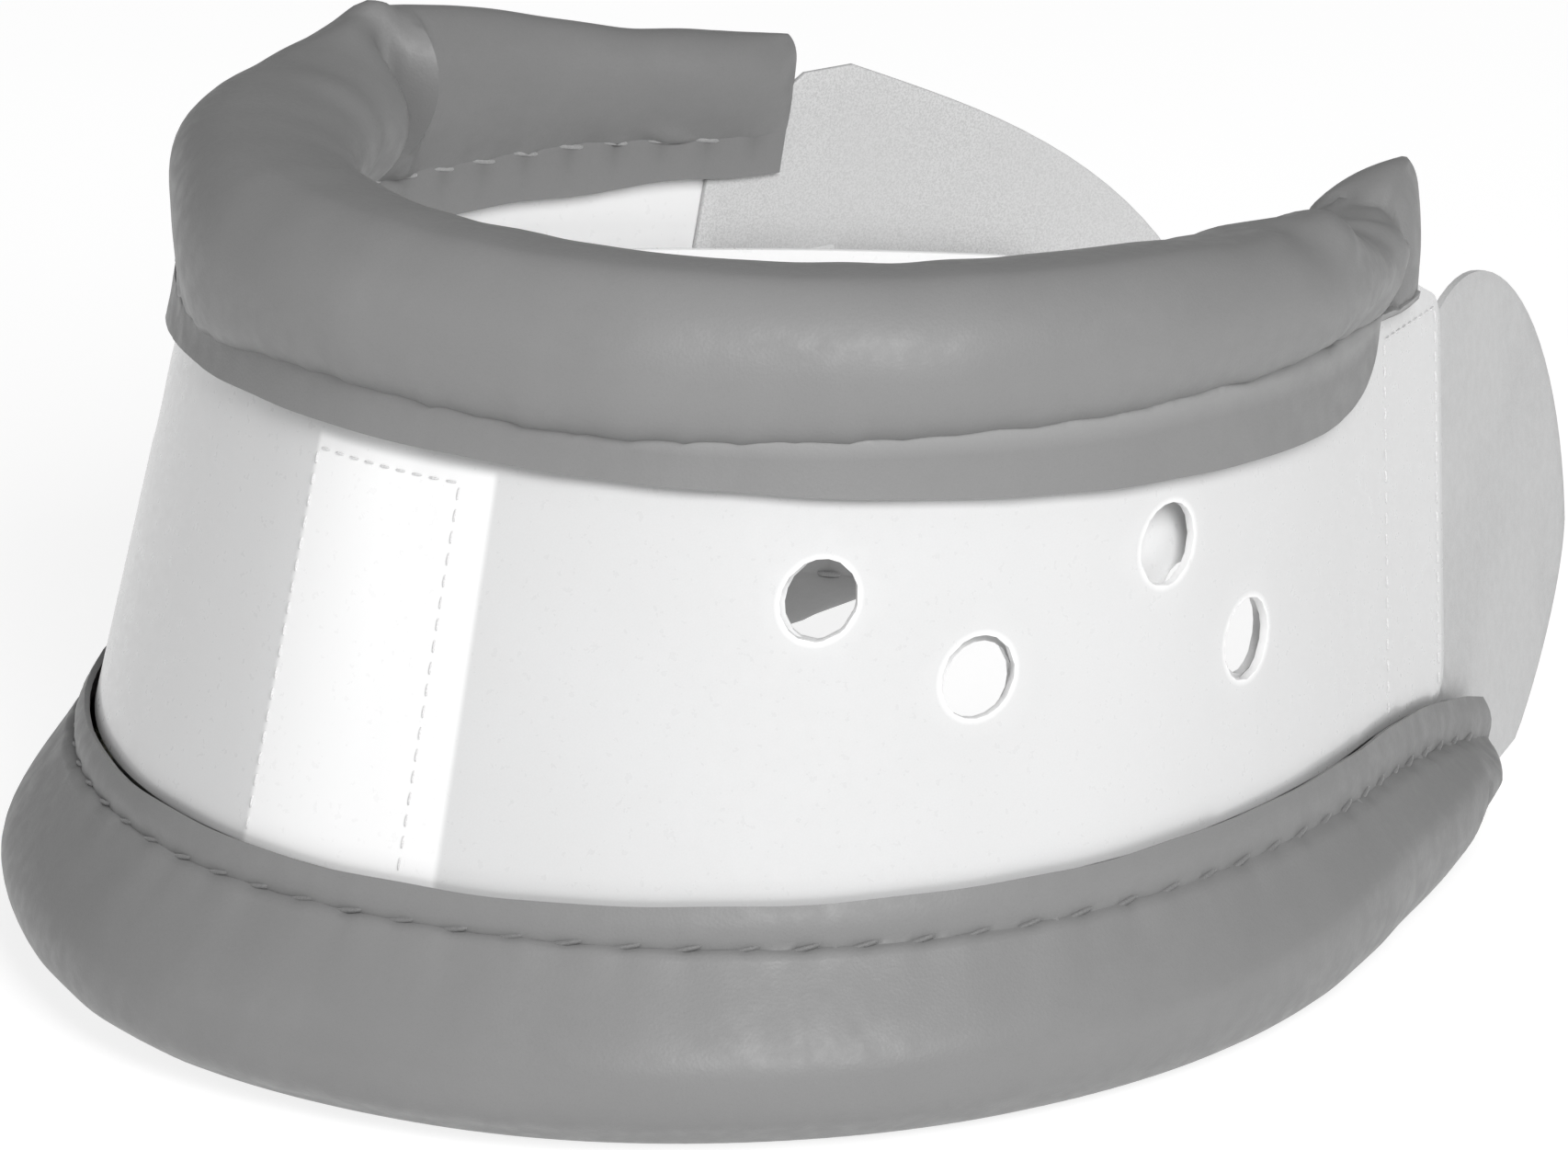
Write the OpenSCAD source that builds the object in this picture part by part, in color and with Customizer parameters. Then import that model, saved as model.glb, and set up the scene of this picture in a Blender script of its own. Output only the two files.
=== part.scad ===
// Adjustable two-piece cervical collar.
//
// Two curved plastic panels lap over each other in front of the neck. The upper
// panel carries a padded roll for the chin, the lower panel a padded roll for the
// shoulders. Hook-and-loop strips between the panels set the height, and a flap at
// each end of the upper panel closes the collar behind the neck.
//
// Units are millimetres. +Z is up, the chin faces -Y, and the wearer's left is +X.
// A place on the collar is given by three numbers: s, the distance along the wall
// from the middle of the chin (positive to the wearer's left), o, the distance out
// of the upper panel's outer face, and z, the height above the floor.

/* [Neck curve] */
// Radius of the bend in front of the chin
chin_radius = 64.5; // [60:0.5:70]
// How far the chin bend turns on each side, in degrees
chin_turn = 90.5; // [84:0.5:92]
// Radius of the gentler bend beside the neck
side_radius = 100; // [90:5:120]
// How far the side bend turns on each side, in degrees
side_turn = 21.5; // [18:0.5:23]
// How far the wall leans back for each millimetre of height
back_lean = 0.172; // [0.14:0.002:0.21]
// How far the wall draws in for each millimetre of height
draw_in = 0.124; // [0.1:0.002:0.14]

/* [Heights at the chin] */
// Top of the upper roll
upper_top = 91.5; // [90.5:0.2:94]
// Lower edge of the upper roll's outer hem
upper_hem = 70; // [69.2:0.1:70.8]
// Upper edge of the lower roll's outer hem
lower_hem = 25.4; // [24.5:0.1:26.2]
// Top edge of the lower panel, hidden behind the upper panel
lower_panel_top = 65.3; // [64.5:0.2:66.5]

/* [Lengths along the wall, from the chin] */
// End of the upper roll
upper_roll_end = 166; // [163:0.5:166]
// End of the upper panel
upper_panel_end = 175.5; // [175.4:0.1:175.6]
// End of the lower roll
lower_roll_end = 189; // [187:0.5:190]
// End of the lower panel
lower_panel_end = 205; // [203:0.5:205]
// Tip of the closure flaps
flap_tip = 231; // [230:0.5:236]

/* [Materials] */
// Thickness of the plastic panels
sheet = 1; // [0.8:0.1:1]
// Thickness of the vinyl roll covers
vinyl = 0.8; // [0.6:0.1:0.9]
// Gap between the panels, which the mated strips fill
panel_gap = 2.5; // [2.5:0.1:2.8]
// Diameter of the vent holes
vent_d = 8.7; // [7:0.1:9]
// Width of the hook-and-loop tape
tape_w = 25; // [24:0.5:25]

/* [Hidden] */
$fn = 48;

panel_white = [0.93, 0.93, 0.94];
strip_white = [0.88, 0.88, 0.88];
flap_grey = [0.76, 0.76, 0.77];
vinyl_grey = [0.54, 0.54, 0.545];
foam_cream = [0.9, 0.88, 0.8];
thread_grey = [0.62, 0.62, 0.62];

// The wall is straight between stations, so every layer shares the same facets.
station = 10;
mid_height = 48.3;
full_turn = chin_turn + side_turn;
chin_len = chin_radius * chin_turn * PI / 180;
side_len = side_radius * side_turn * PI / 180;

// Clearance between touching layers of one body, and between different bodies
snug = 0.05;
free = 0.3;

// Offsets of each layer's outer face from the upper panel's outer face
upper_mid = -sheet / 2;
lower_face = -sheet - panel_gap;
lower_mid = lower_face - sheet / 2;
flap_face = -sheet - snug;
hook_t = 0.7;
flap_t = 0.8;

// ---------------------------------------------------------------- wall surface

function sign_of(s) = s < 0 ? -1 : 1;

// Turn of the wall's heading at s, in degrees
function turn_at(s) = let (a = abs(s))
    sign_of(s) * (a < chin_len
        ? a / chin_radius * 180 / PI
        : min(full_turn, chin_turn + (a - chin_len) / side_radius * 180 / PI));

// Outward direction at s, seen from above
function outward(s) = [sin(turn_at(s)), -cos(turn_at(s))];

// Point of the mid-height curve, for s >= 0
function curve_point(s) = s < chin_len
    ? chin_radius * outward(s)
    : (chin_radius - side_radius) * outward(chin_len) + side_radius * outward(s)
        + max(0, s - chin_len - side_len) * [cos(full_turn), sin(full_turn)];

// Place on the smooth wall, with the chin bend's centre as the origin
function smooth_place(s, o, z) = let (
    drop = mid_height - z,
    n = outward(s),
    c = curve_point(abs(s)))
    [sign_of(s) * c.x + n.x * (o + draw_in * drop),
     c.y + n.y * (o + draw_in * drop) - back_lean * drop,
     z];

// The same place on the facet between two stations
function facet_place(s, o, z) = let (
    i = floor(s / station),
    f = s / station - i)
    (1 - f) * smooth_place(i * station, o, z) + f * smooth_place((i + 1) * station, o, z);

// Slope of the wall out of the vertical at s, in degrees
function slope_at(s) = atan(draw_in + back_lean * cos(turn_at(s)));

// -------------------------------------------------------------- edge heights

// Outer hem of the upper roll falls towards the back
function upper_hem_z(s) = let (u = s / 100) upper_hem - 8.24 * u^2 + 1.38 * u^4;

// The hem is deeper at the sides than under the chin
function upper_seam_z(s) = upper_hem_z(s) + 3 + 6 * pow(min(abs(s), 100) / 100, 1.5);
function upper_top_z(s) = upper_top - 4.7 * pow(s / 100, 2);

function upper_inner_hem_z(s) = upper_seam_z(s) - 3.5 - 2.5 * min(abs(s), 100) / 100;

// Outer hem and seam of the lower roll
function lower_hem_z(s) = let (u = s / 100) lower_hem + 0.9 * u^2 - 1.27 * u^4;
function lower_seam_z(s) = lower_hem_z(s) - 5;

// Fall of an edge near a rounded end: 0 until radius r before the end, then r at it
function corner_fall(s, end, r) = let (x = max(0, (abs(s) - end + r) / r))
    r * (1 - sqrt(max(0, 1 - x * x)));

// ------------------------------------------------------------------- sweeping

// Stations from -end to end, with extra ones near each end for rounding
function half_stations(end, r) = concat(
    [for (s = [0 : station : end - r - 1]) s],
    [for (k = [0, 0.35, 0.65, 0.85, 1]) end - r * (1 - k)]);
function stations(end, r) = let (h = half_stations(end, r), n = len(h))
    concat([for (i = [n - 1 : -1 : 1]) -h[i]], h);

// Joins rings of points into one closed solid
module sweep(rings) {
    n = len(rings[0]);
    m = len(rings);
    points = [for (ring = rings) each ring];
    sides = [for (j = [0 : m - 2], i = [0 : n - 1]) let (k = (i + 1) % n)
        each [[j * n + i, (j + 1) * n + i, (j + 1) * n + k],
              [j * n + i, (j + 1) * n + k, j * n + k]]];
    first = [for (i = [0 : n - 1]) i];
    last = [for (i = [n - 1 : -1 : 0]) (m - 1) * n + i];
    polyhedron(points, concat(sides, [first], [last]));
}

// ---------------------------------------------------------------------- rolls

round_steps = 18;
hem_half = 0.55;

// Point of a roll's section. t runs from 0 at the seam on the outer side, over
// the far edge at 0.5, and back to the seam on the inner side at 1.
function roll_point(t, mid, half, out_by, in_by, seam_z, far_z) = let (
    a = 360 * t,
    rise = (1 - cos(a)) / 2,
    side = t < 0.5 ? 1 : -1,
    bulge = (t < 0.5 ? out_by : in_by) * 1.16 * abs(sin(a)) * sqrt(abs(sin(a / 2))))
    [mid + side * (half * (1 - rise^4) + bulge), seam_z + (far_z - seam_z) * rise];

function roll_path(from, to, mid, half, out_by, in_by, seam_z, far_z) =
    [for (i = [from : to]) roll_point(i / round_steps, mid, half, out_by, in_by, seam_z, far_z)];

function backwards(list) = [for (i = [len(list) - 1 : -1 : 0]) list[i]];

// Fullness of a roll: 1 along its length, almost 0 at its flattened end
roll_round = 14;
least_fullness = 0.06;
function fullness(s, end) = max(least_fullness, 1 - corner_fall(s, end, roll_round) / roll_round);

upper_out = 4.6;
upper_in = 13.5;
function upper_section(s, skin) = let (f = fullness(s, upper_roll_end))
    roll_path(0, round_steps, upper_mid, sheet / 2 + snug + vinyl - skin,
        upper_out * f, upper_in * f, upper_seam_z(s), upper_top_z(s) - skin);

// The outer hem ends in a rounded corner short of the roll's end
function upper_hem_edge(s) = upper_hem_z(s)
    + min(1, corner_fall(s, upper_roll_end - 18, 20) / 20) * (upper_seam_z(s) - upper_hem_z(s) - 1);
function upper_cover_ring(s) = let (
    half = sheet / 2 + snug,
    inner_hem = upper_inner_hem_z(s))
    concat([[upper_mid + half + vinyl, upper_hem_edge(s)]],
        upper_section(s, 0),
        [[upper_mid - half - vinyl, inner_hem], [upper_mid - half, inner_hem]],
        backwards(upper_section(s, vinyl)),
        [[upper_mid + half, upper_hem_edge(s)]]);

lower_out = 9.1;
lower_in = 10;
// The lower roll lifts off the floor at its ends
function lower_bottom_z(s) = -0.5 + 5 * pow(max(0, abs(s) - 150) / 39, 2);
function lower_section(s, skin) = let (f = fullness(s, lower_roll_end))
    roll_path(0, round_steps, lower_mid, sheet / 2 + snug + vinyl - skin,
        lower_out * f, lower_in * f, lower_seam_z(s), lower_bottom_z(s) + 1.6 * skin);

// The outer hem stands in front of the upper panel's lower edge
hem_stand = free + 0.4;
hem_lap = 0.6;
function lower_cover_ring(s) = let (
    half = sheet / 2 + snug,
    inner_hem = lower_seam_z(s) + 5)
    concat([[hem_stand + vinyl, lower_hem_z(s)]],
        lower_section(s, 0),
        [[lower_mid - half - vinyl, inner_hem], [lower_mid - half, inner_hem]],
        backwards(lower_section(s, vinyl)),
        [[hem_stand, lower_hem_z(s)]]);

// Foam fills the cover from just past the panel's edge
foam_from = 3;
function upper_foam_ring(s) = let (f = fullness(s, upper_roll_end), skin = vinyl + 2 * snug)
    roll_path(foam_from, round_steps - foam_from, upper_mid, sheet / 2 + snug + vinyl - skin,
        (upper_out - snug) * f, (upper_in - snug) * f, upper_seam_z(s), upper_top_z(s) - skin);
function lower_foam_ring(s) = let (f = fullness(s, lower_roll_end), skin = vinyl + 2 * snug)
    roll_path(foam_from, round_steps - foam_from, lower_mid, sheet / 2 + snug + vinyl - skin,
        (lower_out - snug) * f, (lower_in - snug) * f, lower_seam_z(s),
        lower_bottom_z(s) + 1.6 * skin);

// Height of a panel edge inside its roll, short of the foam
edge_depth = 0.2;
function upper_panel_top_z(s) = upper_seam_z(s) + 2.6 - 0.35 * max(0, abs(s) - 155)
    - corner_fall(s, upper_panel_end, 3);
function upper_panel_bottom_z(s) = lower_hem_z(s) - hem_lap + corner_fall(s, upper_panel_end, 5);
function lower_panel_top_z(s) = lower_panel_top - 5.2 * pow(s / 100, 2)
    - corner_fall(s, lower_panel_end, 8);
function lower_panel_bottom_z(s) = lower_seam_z(s)
    + edge_depth * (lower_bottom_z(s) - lower_seam_z(s)) + corner_fall(s, lower_panel_end, 8);

// ------------------------------------------------------------------- centring

// The flaps lie in the flat part of the wall, behind this line
hinge_s = 176.3;
flap_top_z = 64.3;
flap_low_z = 0.8;
flap_hinge_low_z = 19.5;
tip_z = 18.3;
tip_dip = 24;
flap_root_s = 174;
flap_round = 1.7;
// The flap clears the lower roll's end by this line
under_end = 193;

// Outline of a closure flap in s and z, from the upper hinge corner round the tip
function flap_edge(a, height) = let (c = pow(abs(cos(a)), 2 / flap_round))
    [flap_root_s + (flap_tip - flap_root_s) * pow(sin(a), 2 / flap_round),
     max(flap_low_z, tip_z + height * c)];
function flap_outline(first_s) = concat(
    [for (a = [0 : 6 : 90]) let (p = flap_edge(a, flap_top_z - tip_z)) if (p[0] > first_s) p],
    [for (a = [84 : -6 : 30]) let (p = flap_edge(a, -tip_dip)) if (p[0] > under_end) p],
    [[under_end, flap_low_z], [under_end, flap_hinge_low_z - 2], [first_s, flap_hinge_low_z]],
    [[first_s, flap_top_z - 1]]);

front_y = min([for (p = lower_section(0, 0)) smooth_place(0, p[0], p[1]).y]);
back_y = max([for (p = flap_outline(hinge_s)) smooth_place(p[0], flap_face, p[1]).y]);
centre_y = (front_y + back_y) / 2;
function place(s, o, z) = facet_place(s, o, z) - [0, centre_y, 0];

// A ring of section points [o, z], set at s
function set_ring(s, section) = [for (p = section) place(s, p[0], p[1])];

// --------------------------------------------------------------------- sheets

// Sheet between two heights, from outer face o_out to inner face o_in
function sheet_ring(s, o_out, o_in, low, high) =
    set_ring(s, [[o_out, high], [o_out, low], [o_in, low], [o_in, high]]);

// Straight strip of tape between s1 and s2, of constant height limits
module strip(s1, s2, o_out, o_in, low, high) {
    inner = [for (i = [ceil(s1 / station) : floor(s2 / station)])
        if (i * station > s1 && i * station < s2) i * station];
    sweep([for (s = concat([s1], inner, [s2])) sheet_ring(s, o_out, o_in, low, high)]);
}

// Vent holes of the left side, as [s, z]. The right side's stand further from the chin.
upper_vents = [[52.6, 56.8], [71.3, 47.1], [96.6, 56.3], [111, 42.5]];
lower_vents = [[53.6, 55.8], [73, 45.3], [103.3, 47.8], [116, 41.2]];
right_vent_shift = 9;

module vents(list, o) {
    for (side = [-1, 1], v = list) let (s = side > 0 ? v[0] : -v[0] - right_vent_shift)
        translate(place(s, o, v[1]))
            rotate([90 - slope_at(s), 0, turn_at(s)])
                cylinder(d = vent_d, h = 5, center = true);
}

module floor_cut() {
    translate([-150, -200, -20]) cube([300, 400, 20]);
}

// ------------------------------------------------------------------ stitching

thread = 0.45;
thread_proud = 0.2;
seam_pitch = 6;
seam_stitch = 3.6;
box_pitch = 3;
box_stitch = 2;

// One stitch through the layers between o_in and o_out. rise turns it upright.
module stitch(s, z, o_out, o_in, length, rise = 0) {
    translate(place(s, (o_out + o_in) / 2, z))
        rotate([-slope_at(s), 0, turn_at(s)])
            rotate([0, rise, 0])
                cube([length, o_out - o_in, thread], center = true);
}

// Rows of stitches up both sides of a strip between low and high, and across it at each
// height of across_at
module stitch_box(s1, s2, low, high, o_out, o_in, across_at) {
    across = floor((s2 - s1) / box_pitch);
    up = floor((high - low) / box_pitch);
    for (i = [0 : up - 1], s = [s1, s2])
        stitch(s, low + (i + 0.5) * (high - low) / up, o_out, o_in, box_stitch, 90);
    for (i = [0 : across - 1], z = across_at)
        stitch(s1 + (i + 0.5) * (s2 - s1) / across, z, o_out, o_in, box_stitch);
}

// ----------------------------------------------------------------- hook & loop

strip_half = tape_w / 2;
box_half = 10.25;
box_inset = 1.5;
end_strip_mid = 162.8;
front_low = 25.6;
front_high = 68.3;
end_low = 20.5;
end_high = 60;
end_loop_high = 49.5;
hook_below = 2;

// ------------------------------------------------------------------ flat parts

// Coordinates in the flat plane of the wall behind the hinge line
flat_skew = back_lean * sin(full_turn);
flat_slope = draw_in + back_lean * cos(full_turn);
function flat_point(s, z) = [s - hinge_s + flat_skew * (z - mid_height),
    (z - mid_height) * sqrt(1 + flat_slope^2)];

// Lays a flat outline, given in s and z, on the wearer's left side
module lay_flat(o_out, o_in) {
    translate(place(hinge_s, o_in, mid_height))
        rotate([90 - atan(flat_slope), 0, full_turn])
            linear_extrude(o_out - o_in)
                children();
}

module flat_polygon(outline) {
    polygon([for (p = outline) flat_point(p[0], p[1])]);
}

// Rectangle between two corners, on the flat plane
function box_outline(s1, s2, low, high) = [[s1, high], [s2, high], [s2, low], [s1, low]];

module left_side(side) {
    if (side > 0) children();
    else mirror([1, 0, 0]) children();
}

// --------------------------------------------------------------- upper assembly

module upper_panel() {
    color(panel_white)
        difference() {
            sweep([for (s = stations(upper_panel_end, 5)) sheet_ring(s, 0, -sheet,
                upper_panel_bottom_z(s), upper_panel_top_z(s))]);
            vents(upper_vents, upper_mid);
        }
}

module upper_roll_foam() {
    color(foam_cream)
        sweep([for (s = stations(upper_roll_end - 2, roll_round)) set_ring(s, upper_foam_ring(s))]);
}

module upper_roll_cover() {
    color(vinyl_grey)
        sweep([for (s = stations(upper_roll_end, roll_round)) set_ring(s, upper_cover_ring(s))]);
}

module upper_roll_stitching() {
    color(thread_grey)
        for (i = [-26 : 26]) let (s = i * seam_pitch)
            stitch(s, upper_seam_z(s) - 1,
                snug + vinyl + thread_proud, -sheet - snug - vinyl - thread_proud, seam_stitch);
}

module loop_strip(middle, low, high, o_out) {
    color(strip_white)
        strip(middle - strip_half, middle + strip_half, o_out, lower_face + hook_t + free, low, high);
}

// The box is open at the panel's lower edge
module strip_stitching(middle, low, high) {
    color(thread_grey)
        stitch_box(middle - box_half, middle + box_half, low, high - box_inset,
            thread_proud, lower_face + hook_t + free, [high - box_inset]);
}

// Sewn margin of a closure flap, between the panel and the loop strip
module flap_margin(side) {
    color(flap_grey)
        left_side(side)
            lay_flat(flap_face, flap_face - flap_t)
                flat_polygon(box_outline(end_strip_mid - strip_half, hinge_s - 0.4,
                    flap_hinge_low_z, end_high));
}

// --------------------------------------------------------------- lower assembly

module lower_panel() {
    color(panel_white)
        difference() {
            sweep([for (s = stations(lower_panel_end, 8)) sheet_ring(s, lower_face,
                lower_face - sheet, lower_panel_bottom_z(s), lower_panel_top_z(s))]);
            vents(lower_vents, lower_mid);
        }
}

module lower_roll_foam() {
    color(foam_cream)
        sweep([for (s = stations(lower_roll_end - 2, roll_round)) set_ring(s, lower_foam_ring(s))]);
}

module lower_roll_cover() {
    color(vinyl_grey)
        difference() {
            sweep([for (s = stations(lower_roll_end, roll_round)) set_ring(s, lower_cover_ring(s))]);
            floor_cut();
        }
}

module lower_roll_stitching() {
    color(thread_grey)
        for (i = [-30 : 30]) let (s = i * seam_pitch)
            stitch(s, lower_seam_z(s) + 0.3, lower_face + snug + vinyl + 0.5,
                lower_face - sheet - snug - vinyl - thread_proud, seam_stitch);
}

// Hook strips stop short of the lower panel's top edge
function hook_high(middle) = lower_panel_top_z(abs(middle) + strip_half) - hook_below;
module hook_strip(middle, low) {
    color(strip_white)
        strip(middle - strip_half, middle + strip_half,
            lower_face + snug + hook_t, lower_face + snug, low, hook_high(middle));
}

module hook_strip_stitching() {
    color(thread_grey)
        for (m = [[0, front_low], [end_strip_mid, end_low], [-end_strip_mid, end_low]])
            let (low = m[1] + box_inset, high = hook_high(m[0]) - box_inset)
                stitch_box(m[0] - box_half, m[0] + box_half, low, high,
                    lower_face + hook_t, lower_face - sheet - thread_proud, [low, high]);
}

// ---------------------------------------------------------------- closure flaps

// The patches are bonded on, clear of the flap's rounded edge
patch_s = [198, 218];
patch_z = [11, 40];
patch_t = 1.4;

module closure_flap(side) {
    color(flap_grey)
        left_side(side)
            lay_flat(flap_face, flap_face - flap_t)
                flat_polygon(flap_outline(hinge_s + 0.4));
}

module closure_patch(side, o_out) {
    color(strip_white)
        left_side(side)
            lay_flat(o_out, o_out - patch_t)
                flat_polygon(box_outline(patch_s[0], patch_s[1], patch_z[0], patch_z[1]));
}

flap_back = flap_face - flap_t;

upper_panel();
upper_roll_foam();
upper_roll_cover();
upper_roll_stitching();
loop_strip(0, front_low, front_high, -sheet - snug);  // front_loop_strip
loop_strip(end_strip_mid, end_low, end_loop_high, flap_back - snug);  // left_loop_strip
loop_strip(-end_strip_mid, end_low, end_loop_high, flap_back - snug);  // right_loop_strip
strip_stitching(0, front_low, front_high);  // front_strip_stitching
strip_stitching(end_strip_mid, end_low, end_high);  // left_strip_stitching
strip_stitching(-end_strip_mid, end_low, end_high);  // right_strip_stitching
flap_margin(1);  // left_flap_margin
flap_margin(-1);  // right_flap_margin
lower_panel();
lower_roll_foam();
lower_roll_cover();
lower_roll_stitching();
hook_strip(0, front_low);  // front_hook_strip
hook_strip(end_strip_mid, end_low);  // left_hook_strip
hook_strip(-end_strip_mid, end_low);  // right_hook_strip
hook_strip_stitching();
closure_flap(1);  // left_closure_flap
closure_patch(1, flap_back - snug);  // closure_hook_patch
closure_flap(-1);  // right_closure_flap
closure_patch(-1, flap_face + snug + patch_t);  // closure_loop_patch
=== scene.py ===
"""Adjustable two-piece cervical collar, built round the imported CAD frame.

A place on the collar is given by three numbers in millimetres: s, the distance along
the wall from the middle of the chin (positive to the wearer's left), o, the distance
out of the upper panel's outer face, and z, the height above the floor. place() turns
them into metres in the frame.
"""
import math

import bmesh
import bpy
import numpy as np
from mathutils import Matrix, Vector
from mathutils.geometry import delaunay_2d_cdt


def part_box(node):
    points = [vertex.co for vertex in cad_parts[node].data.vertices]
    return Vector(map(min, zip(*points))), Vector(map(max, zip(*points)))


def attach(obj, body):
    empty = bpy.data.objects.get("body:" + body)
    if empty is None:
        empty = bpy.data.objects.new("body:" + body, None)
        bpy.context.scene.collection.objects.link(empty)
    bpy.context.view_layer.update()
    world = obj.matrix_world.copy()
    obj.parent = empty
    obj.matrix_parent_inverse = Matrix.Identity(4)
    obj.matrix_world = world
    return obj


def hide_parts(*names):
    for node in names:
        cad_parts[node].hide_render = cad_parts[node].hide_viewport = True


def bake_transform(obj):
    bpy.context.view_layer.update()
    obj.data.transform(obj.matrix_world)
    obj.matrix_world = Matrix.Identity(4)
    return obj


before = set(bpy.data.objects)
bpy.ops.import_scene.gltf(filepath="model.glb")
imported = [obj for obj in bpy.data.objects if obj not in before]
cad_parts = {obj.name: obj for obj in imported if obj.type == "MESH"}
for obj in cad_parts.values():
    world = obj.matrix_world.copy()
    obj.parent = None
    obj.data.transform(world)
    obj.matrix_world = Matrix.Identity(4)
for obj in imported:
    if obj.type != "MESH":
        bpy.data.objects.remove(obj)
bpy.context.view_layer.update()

MM = 0.001

# ---------------------------------------------------------------- driving sizes, in mm

# The wall bends round the chin, more widely at the sides, and ends straight. For each millimetre of
# height it draws in by DRAW_IN and leans back by BACK_LEAN.
CHIN_RADIUS = 64.5
CHIN_TURN = math.radians(90.5)
SIDE_RADIUS = 100.0
SIDE_TURN = math.radians(21.5)
BACK_LEAN = 0.172
DRAW_IN = 0.124
MID_HEIGHT = 48.3

SHEET = 1.0
VINYL = 0.7
SNUG = 0.05
PANEL_GAP = 2.5
HOOK = 0.7
FLAP = 0.8
PATCH = 1.4
TAPE_HALF = 25.0 / 2
VENT_RADIUS = 4.35
VENT_RING = VENT_RADIUS + 0.7
VENT_SIDES = 40
FLOOR_GAP = 0.1

UPPER_ROLL_END = 166.0
UPPER_PANEL_END = 175.5
LOWER_ROLL_END = 189.0
LOWER_PANEL_END = 205.0
HINGE = 176.3
FLAP_ROOT = 174.0
FLAP_TIP = 231.3
FLAP_LOW = 0.8
FLAP_POWER = 1.7
MARGIN_START = 157.2
UNDER_END = 193.0

FULL_TURN = CHIN_TURN + SIDE_TURN
CHIN_LENGTH = CHIN_RADIUS * CHIN_TURN
SIDE_LENGTH = SIDE_RADIUS * SIDE_TURN
UPPER_MID = -SHEET / 2
LOWER_FACE = -SHEET - PANEL_GAP
LOWER_MID = LOWER_FACE - SHEET / 2
FLAP_FACE = -SHEET - SNUG
FLAP_BACK = FLAP_FACE - FLAP

# Vent holes of the left side, as s and z. The right side's stand further from the chin.
UPPER_VENTS = [(52.6, 56.8), (71.3, 47.1), (96.6, 56.3), (111.0, 42.5)]
LOWER_VENTS = [(53.6, 55.8), (73.0, 45.3), (103.3, 47.8), (116.0, 41.2)]
RIGHT_VENT_SHIFT = 9.0

# Hook-and-loop tape: middles and heights of the strips, their stitches and the flaps' patches. The
# front tape shows through the panel with its middle at FRONT_TAPE_MIDDLE.
END_STRIP = 162.8
FRONT_LOW, FRONT_HIGH = 25.6, 68.3
END_LOW, END_HIGH = 20.5, 60.0
END_LOOP_HIGH = 49.5
BOX_HALF = 10.25
FRONT_TAPE_MIDDLE = 2.1
BOX_INSET = 1.5
PATCH_S = (198.0, 218.0)
PATCH_Z = (11.0, 40.0)

# ------------------------------------------------------------------------- wall surface


def outward(turn):
    return np.stack([np.sin(turn), -np.cos(turn)], -1)


def turn_at(s):
    """How far the wall has turned at s, in radians."""
    a = np.abs(s)
    beyond = np.minimum(FULL_TURN, CHIN_TURN + (a - CHIN_LENGTH) / SIDE_RADIUS)
    return np.where(s < 0, -1.0, 1.0) * np.where(a < CHIN_LENGTH, a / CHIN_RADIUS, beyond)


def wall_point(s, o, z):
    """Millimetres from the centre of the chin's bend."""
    s, o, z = np.broadcast_arrays(*(np.asarray(v, float) for v in (s, o, z)))
    a = np.abs(s)
    near = CHIN_RADIUS * outward(a / CHIN_RADIUS)
    straight = np.maximum(0.0, a - CHIN_LENGTH - SIDE_LENGTH)[..., None]
    corner = (CHIN_RADIUS - SIDE_RADIUS) * outward(np.array(CHIN_TURN))
    heading = np.array([math.cos(FULL_TURN), math.sin(FULL_TURN)])
    far = corner + SIDE_RADIUS * outward(turn_at(a)) + straight * heading
    curve = np.where((a < CHIN_LENGTH)[..., None], near, far)
    normal = outward(turn_at(s))
    drop = MID_HEIGHT - z
    reach = o + DRAW_IN * drop
    x = np.where(s < 0, -1.0, 1.0) * curve[..., 0] + normal[..., 0] * reach
    y = curve[..., 1] + normal[..., 1] * reach - BACK_LEAN * drop
    return np.stack([x, y, z], -1)


def place(s, o, z):
    """Metres in the frame."""
    point = wall_point(s, o, z)
    point[..., 1] -= CENTRE_Y
    return point * MM


# ------------------------------------------------------------------------- edge heights


def ease(x):
    x = np.clip(x, 0.0, 1.0)
    return x * x * (3 - 2 * x)


def hump(x, middle, width):
    """1 at the middle and close to 0 beyond two widths from it."""
    return np.exp(-(((x - middle) / width) ** 2))


def corner_fall(s, end, radius):
    """Fall of an edge near a rounded end: 0 until radius before the end, then radius."""
    x = np.clip((np.abs(s) - end + radius) / radius, 0.0, 1.0)
    return radius * (1 - np.sqrt(1 - x * x))


def upper_hem_z(s):
    u = s / 100
    return 70 - 8.24 * u**2 + 1.38 * u**4


def upper_sewing_z(s):
    """Even line under the upper panel's top edge, which the roll's seam follows."""
    return upper_hem_z(s) + 3 + 6 * np.minimum(np.abs(s) / 100, 1) ** 1.5


def upper_seam_z(s):
    """The upper roll's seam sags below the even line towards the ends and past the crease, and
    stands over it around the chin and on the left."""
    end_sag = np.where(s > 0, 1.7, 2.4) * ease((np.abs(s) - 135) / 31)
    crease_sag = 2.0 * ease((-s - 80) / 25) * (1 - ease((-s - 112) / 46))
    left_rise = 1.8 * ease((s + 40) / 25) * (1 - 0.45 * ease((s - 60) / 45)) * (1 - ease((s - 110) / 40))
    return upper_sewing_z(s) - end_sag - crease_sag + left_rise + 1.2 * hump(s, -3, 20)


def upper_hem_edge(s):
    """The outer hem ends in a rounded corner short of the roll's end."""
    lift = np.minimum(1, corner_fall(s, UPPER_ROLL_END - 20.5, 20) / 20)
    return upper_hem_z(s) + lift * (upper_seam_z(s) - upper_hem_z(s) - 0.6)


def upper_inner_hem_z(s):
    short = 1.2 * ease((-s - 138) / 24)
    return upper_seam_z(s) - 3.5 - 2.5 * np.minimum(np.abs(s) / 100, 1) + short


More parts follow.
